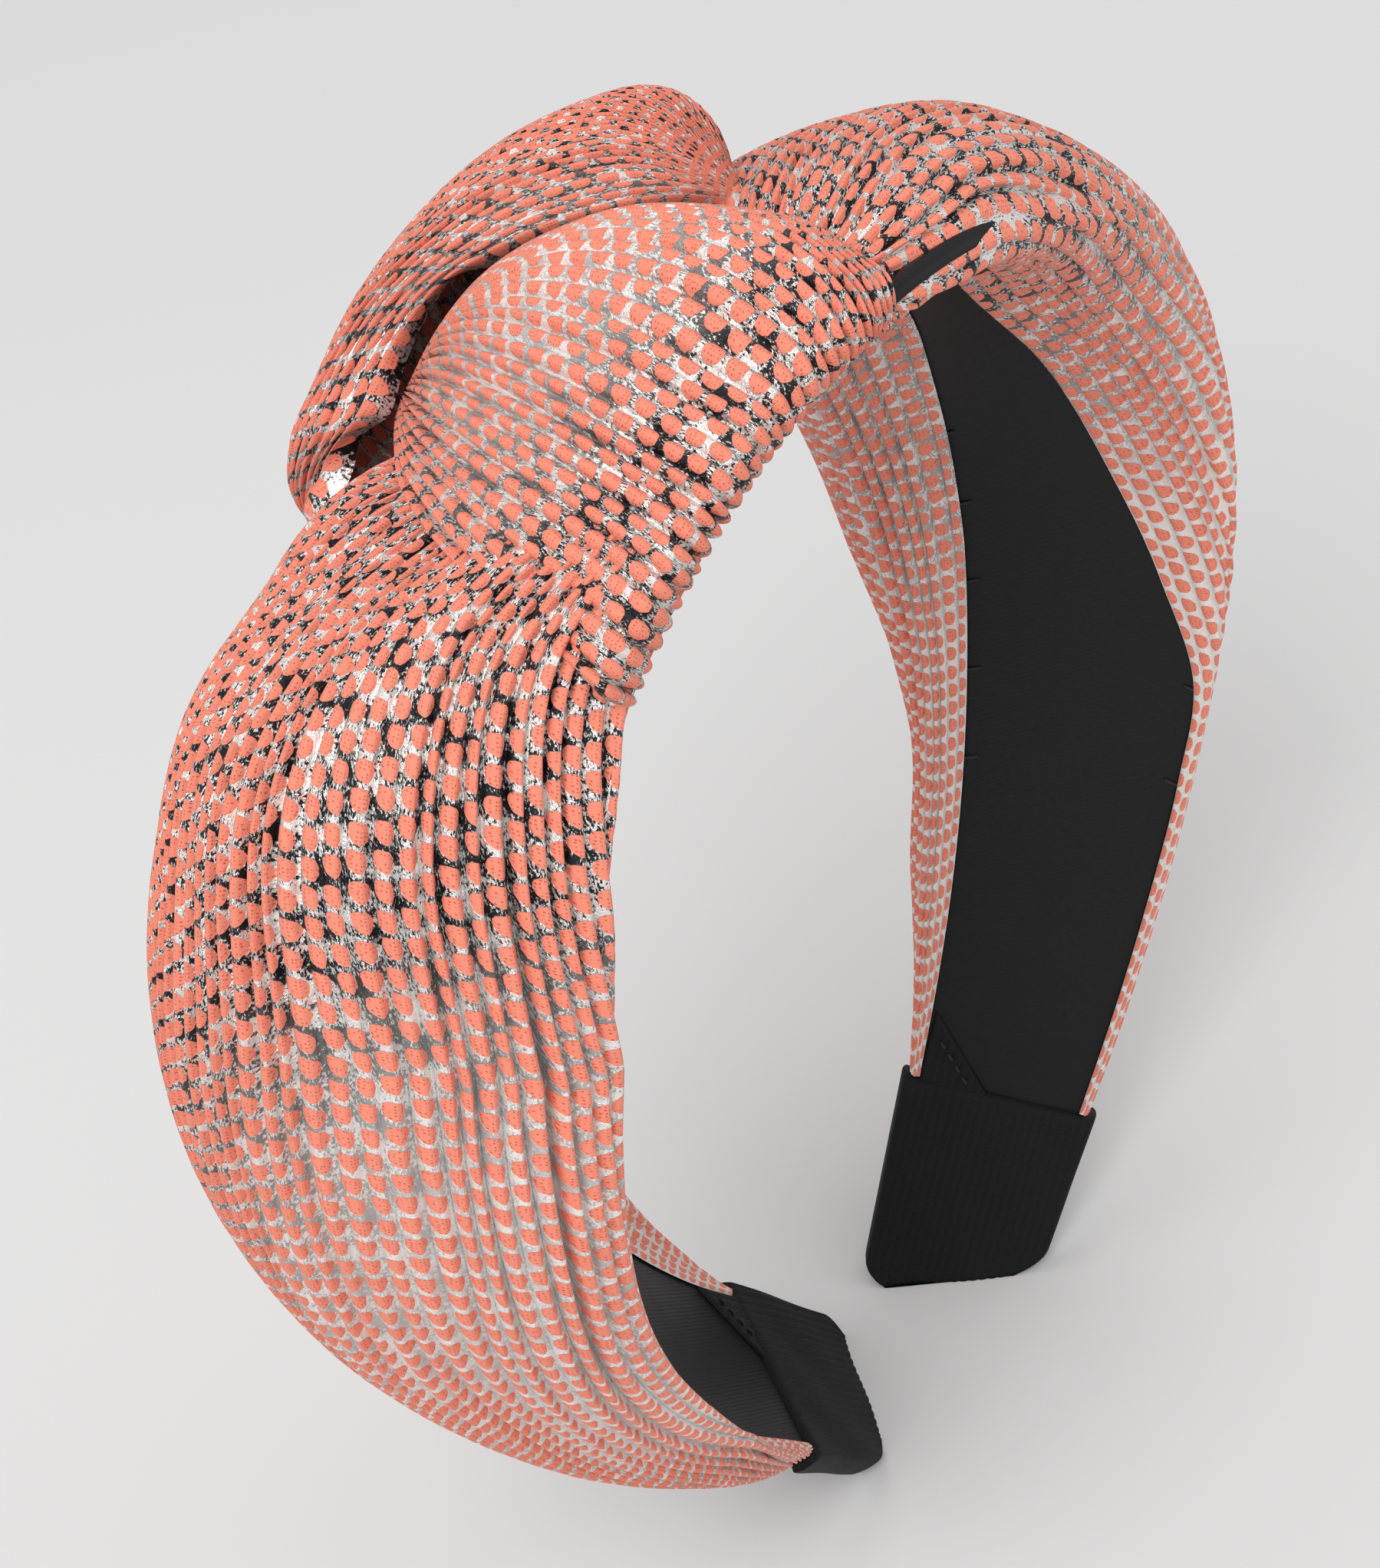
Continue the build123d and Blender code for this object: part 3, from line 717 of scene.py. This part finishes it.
def liningRing(s):
    # the inner face: a thin strip with rounded edges and small puckers beside them
    w = float(halfWidth(s)) + 0.05
    across = np.linspace(-w, w, 60)
    edge = np.exp(-(w - np.abs(across)) / 1.6)
    pucker = satin["pucker"] * edge * np.sin(s * 2.1 + np.sign(across) * 1.3)
    lower = -satin["outer"] - pucker + 0.18 * np.clip(1 - (w - np.abs(across)) / 0.35, 0, 1) ** 2
    upper = np.full(60, -satin["inner"])
    return np.concatenate([across, across[::-1]]), np.concatenate([lower, upper])


def outerSatinRing(s):
    # the outer face, turned down over both edges of the strip
    w = float(halfWidth(s)) + satin["roll"]
    turn = np.linspace(0, math.pi / 2, 7)
    cornerV = w - 0.5 + 0.5 * np.sin(turn)
    cornerN = satin["outer"] - 0.5 + 0.5 * np.cos(turn)
    outV = np.concatenate([np.linspace(0, w - 0.5, 14)[:-1], cornerV, [w]])
    outN = np.concatenate([np.full(13, satin["outer"]), cornerN, [-satin["inner"]]])
    inV = np.concatenate([[w - 0.22], [w - 0.22], np.linspace(w - 0.3, 0, 13)[:-1]])
    inN = np.concatenate([[-satin["inner"]], [satin["inner"] + 0.02], np.full(12, satin["inner"] + 0.03)])
    ringV = np.concatenate([-outV[::-1], outV[1:], inV, -inV[::-1]])
    ringN = np.concatenate([outN[::-1], outN[1:], inN, inN[::-1]])
    return ringV, ringN


def blendAcross(piece):
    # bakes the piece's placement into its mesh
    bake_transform(piece)


sides = (("left", -1, hoop["leftFlex"]), ("right", 1, hoop["rightFlex"]))
stripEnd = halfLength - hoop["endSetback"]
for label, side, flexAt in sides:
    lining, liningGrid = sleeve(label + "Lining", 0.0, side * stripEnd, liningRing)
    inner = [label + "_lining"] + (["crown_lining"] if side < 0 else [])
    finishPiece(lining, satinBlack, "satin", None, *inner)
    blendAcross(lining)
    cover, coverGrid = sleeve(label + "OuterSatin", 0.0, side * stripEnd, outerSatinRing)
    outer = [label + "_outer_satin"] + (["crown_outer_satin"] if side < 0 else [])
    finishPiece(cover, satinBlack, "satin", None, *outer)
    blendAcross(cover)
blendAcross(leftPuff)
blendAcross(rightPuff)
print("stage: satin ready")

ribbon = {
    "thickness": 1.8,  # from the middle surface to the ribbon's face
    "overWidth": 1.15,
    "ribPitch": 1.05,
    "ribHeight": 0.13,
    "cornerFold": 2.6,
    "flapRise": 9.0,
    "flapWidth": 8.0,
    "flapInset": 1.0,
}


def ribWave(v):
    return ribbon["ribHeight"] * (np.abs(np.sin(math.pi * v / ribbon["ribPitch"])) ** 0.7 - 0.6)


def floorReach(side, v, n):
    # s at which a line down the straight tip meets the floor
    a, b = side * (halfLength - 20), side * (halfLength - 5)
    za, zb = hoopPoint(a, v, n)[..., 2], hoopPoint(b, v, n)[..., 2]
    return np.abs(a + (b - a) * za / (za - zb))


def buildRibbon(label, side):
    # ribs run down the leg; the end is folded shut and its corners are tucked in
    ribCount = 20
    rows = 46
    down = np.linspace(0, 1, rows)
    w = halfWidth(ribbonStart + down * hoop["ribbonLength"]) + ribbon["overWidth"]
    face = np.linspace(-1, 1, ribCount * 8)
    edgeTurn = np.linspace(0, math.pi, 9)[1:-1]
    v = np.concatenate([face, 1 + 0 * edgeTurn, -face, -1 + 0 * edgeTurn])[None, :] * w[:, None]
    thick = ribbon["thickness"]
    outerFace = np.concatenate([np.full(len(face), thick), thick * np.cos(edgeTurn)])
    n = np.concatenate([outerFace, -outerFace])
    bulge = np.concatenate([0 * face, 0.5 * np.sin(edgeTurn), 0 * face, -0.5 * np.sin(edgeTurn)])
    n = np.broadcast_to(n[None, :], v.shape).copy()
    ribs = ribWave(v) * np.where(np.abs(n) >= thick - 1e-6, np.sign(n), 0)
    soft = 0.10 * np.sin(down[:, None] * 9 + v * 0.5) * np.sign(n)
    n = n + ribs + soft
    v = v + bulge[None, :]
    # pull the ribbon in at its top edge and close it flat at the floor
    topIn = np.clip(down[:, None] / 0.04, 0, 1) ** 0.5
    n = n * (0.82 + 0.18 * topIn)
    tuck = np.clip((down[:, None] - 0.86) / 0.14, 0, 1) ** 2
    corner = np.clip(np.abs(v) / w[:, None] - 0.55, 0, None) / 0.45
    v = v - np.sign(v) * tuck * ribbon["cornerFold"] * corner**2
    s = ribbonStart + down[:, None] * (floorReach(side, v, n) - ribbonStart)
    s = s - tuck * 0.5 * (1 - topIn)
    points = hoopPoint(side * s, v, n)
    points[..., 2] = np.maximum(points[..., 2], 0.0001)
    if side > 0:
        points = points[:, ::-1]
    piece = gridMesh(label + "TipRibbon", points, wrap=True, caps=True)
    return finishPiece(piece, ribbonBlack, "grosgrain", label + "_arm", label + "_tip_ribbon")


def buildFlap(label, side):
    # slanted end of the ribbon, lapped up over the lining at the rear edge
    across, up = np.meshgrid(np.linspace(0, 1, 64), np.linspace(0, 1, 30))
    rear = halfWidth(ribbonStart) - ribbon["flapInset"] + 0.6
    v = rear - across * ribbon["flapWidth"]
    s = ribbonStart + 0.6 - up * (ribbon["flapRise"] * (1 - across) + 0.6)
    border = np.minimum(np.minimum(up, 1 - up), np.minimum(across, 1 - across))
    lift = 0.42 * np.clip(border / 0.05, 0, 1) ** 0.5
    n = -(satin["outer"] + 0.10) - lift - ribWave(v) * np.clip(border / 0.08, 0, 1)
    points = hoopPoint(side * s, v, n)
    if side < 0:
        points = points[:, ::-1]
    piece = gridMesh(label + "RibbonFlap", points)
    finishPiece(piece, ribbonBlack, "grosgrain", label + "_arm", label + "_ribbon_flap")


def threadPath(side, start, end, height, rise, count=9):
    # one stitch from start to end, both (s, v), bowed out of the cloth
    t = np.linspace(0, 1, count)
    s = start[0] + (end[0] - start[0]) * t
    v = start[1] + (end[1] - start[1]) * t
    return hoopPoint(side * s, v, height - rise * np.sin(math.pi * t))


def threadTube(paths, name, thickness):
    # short tubes of two-ply thread, all in one mesh
    vertices, faces = [], []
    sidesOfTube = 8
    for path in paths:
        tangent = np.gradient(path, axis=0)
        tangent /= np.linalg.norm(tangent, axis=1)[:, None]
        helper = np.array([0.3, 0.5, 0.8])
        a = np.cross(tangent, helper)
        a /= np.linalg.norm(a, axis=1)[:, None]
        b = np.cross(tangent, a)
        base = len(vertices)
        for i, point in enumerate(path):
            for j in range(sidesOfTube):
                turn = 2 * math.pi * j / sidesOfTube
                ply = thickness * mm / 2 * (1 + 0.18 * math.cos(2 * turn + i * 1.1))
                vertices.append(tuple(point + ply * (math.cos(turn) * a[i] + math.sin(turn) * b[i])))
        for i in range(len(path) - 1):
            for j in range(sidesOfTube):
                k = (j + 1) % sidesOfTube
                faces.append([base + i * sidesOfTube + j, base + i * sidesOfTube + k,
                              base + (i + 1) * sidesOfTube + k, base + (i + 1) * sidesOfTube + j])
        faces.append([base + j for j in range(sidesOfTube)][::-1])
        faces.append([base + (len(path) - 1) * sidesOfTube + j for j in range(sidesOfTube)])
    mesh = bpy.data.meshes.new(name)
    mesh.from_pydata(vertices, [], faces)
    mesh.shade_smooth()
    piece = bpy.data.objects.new(name, mesh)
    bpy.context.scene.collection.objects.link(piece)
    return piece


stitches = {
    "pitch": 12.0,
    "count": 8,
    "startGap": 14.5,
    "length": 1.8,
    "inset": 0.1,
    "thickness": 0.35,
    "tipCount": 4,
}


def buildStitches(label, side, flexAt):
    surface = -satin["outer"] - 0.02
    hems, tips = [], []
    for i in range(stitches["count"]):
        s = abs(flexAt) + stitches["startGap"] + i * stitches["pitch"]
        for edge in (-1, 1):
            w = edge * (float(halfWidth(s)) - stitches["inset"])
            hems.append(threadPath(side, (s, w - edge * stitches["length"]), (s + 0.5, w), surface, 0.10))
    rear = float(halfWidth(ribbonStart)) - ribbon["flapInset"]
    for i in range(stitches["tipCount"]):
        t = (i + 1) / (stitches["tipCount"] + 1)
        v = rear - 0.7 * ribbon["flapWidth"] * t
        s = ribbonStart - 0.7 * ribbon["flapRise"] * (1 - t)
        tips.append(threadPath(side, (s - 0.3, v + 0.3), (s + 0.3, v - 0.3), surface - 0.62, 0.16))
    hemPiece = threadTube(hems, label + "HemStitches", stitches["thickness"])
    finishPiece(hemPiece, threadBlack, "thread", label + "_arm", label + "_hem_stitches")
    tipPiece = threadTube(tips, label + "TipStitches", stitches["thickness"])
    finishPiece(tipPiece, threadBlack, "thread", label + "_arm", label + "_tip_stitches")


for label, side, flexAt in sides:
    buildRibbon(label, side)
    buildFlap(label, side)
    buildStitches(label, side, flexAt)
print("stage: ribbons and stitches ready")

# Kept CAD nodes: the plastic strip and the hidden tacks
for name in ("hoop_crown", "hoop_left_arm", "hoop_right_arm"):
    frame["nodes"][name].data.materials.clear()
    frame["nodes"][name].data.materials.append(plasticBlack)
frame["nodes"]["knot_tacks"].data.materials.clear()
frame["nodes"]["knot_tacks"].data.materials.append(threadBlack)

# Camera, floor and light
# places are measured from hoopPlace, so that the view goes with the hoop
shot = {
    "place": (-0.16310, -0.18254, 0.33326),
    "aim": (0.00044, 0.01050, 0.08664),
    "roll": -15.61,
    "lens": 80.53,
}


def addCamera():
    data = bpy.data.cameras.new("camera")
    data.sensor_fit = "VERTICAL"
    data.sensor_height = 36
    data.lens = shot["lens"]
    data.clip_start = 0.01
    camera = bpy.data.objects.new("camera", data)
    bpy.context.scene.collection.objects.link(camera)
    place, aim = np.array(shot["place"]) + hoopPlace, np.array(shot["aim"]) + hoopPlace
    back = (place - aim) / np.linalg.norm(place - aim)
    right = np.cross((0, 0, 1), back)
    right /= np.linalg.norm(right)
    up = np.cross(back, right)
    roll = math.radians(shot["roll"])
    turnedRight = math.cos(roll) * right + math.sin(roll) * up
    turnedUp = -math.sin(roll) * right + math.cos(roll) * up
    matrix = np.eye(4)
    matrix[:3, 0], matrix[:3, 1], matrix[:3, 2], matrix[:3, 3] = turnedRight, turnedUp, back, place
    camera.matrix_world = Matrix(matrix.tolist())
    bpy.context.scene.camera = camera


def addLight(name, place, size, power, aim=(0, 0, 0.09)):
    data = bpy.data.lights.new(name, "AREA")
    data.shape = "DISK"
    data.size = size
    data.energy = power
    light = bpy.data.objects.new(name, data)
    bpy.context.scene.collection.objects.link(light)
    light.location = place
    direction = np.array(aim) - np.array(place)
    light.rotation_euler = Vector(direction).to_track_quat("-Z", "Y").to_euler()


studio = {
    "low": 0.46,  # the surroundings' glow at the horizon
    "high": 0.86,  # and overhead
    "floor": (0.70, 0.70, 0.70, 1),
    "reach": 12.0,
    "key": 3.3,
    "fill": 1.2,
}


def addStudio():
    world = bpy.data.worlds.new("studio")
    bpy.context.scene.world = world
    world.use_nodes = True
    background = world.node_tree.nodes["Background"]
    tree = world.node_tree
    direction = tree.nodes.new("ShaderNodeTexCoord")
    height = tree.nodes.new("ShaderNodeSeparateXYZ")
    plug(tree, direction.outputs["Generated"], height.inputs[0])
    glow = ramp(tree, height.outputs[2], 0.05, 0.75, studio["low"], studio["high"])
    plug(tree, glow, background.inputs["Strength"])
    background.inputs["Color"].default_value = (1, 1, 1, 1)
    floorMesh = bpy.data.meshes.new("floor")
    reach = studio["reach"]
    corners = [(x * reach, y * reach, 0) for x, y in ((-1, -1), (1, -1), (1, 1), (-1, 1))]
    floorMesh.from_pydata(corners, [], [(0, 1, 2, 3)])
    floor = bpy.data.objects.new("floor", floorMesh)
    bpy.context.scene.collection.objects.link(floor)
    material, tree, shader = newMaterial("floorPaper")
    shader.inputs["Base Color"].default_value = studio["floor"]
    shader.inputs["Roughness"].default_value = 0.9
    floor.data.materials.append(material)
    addLight("key", (-0.45, -0.15, 0.75), 0.5, studio["key"])
    addLight("fill", (0.6, -0.7, 0.6), 0.9, studio["fill"])
    bpy.context.scene.view_settings.view_transform = "Standard"


addCamera()
addStudio()
print("stage: camera and light ready")
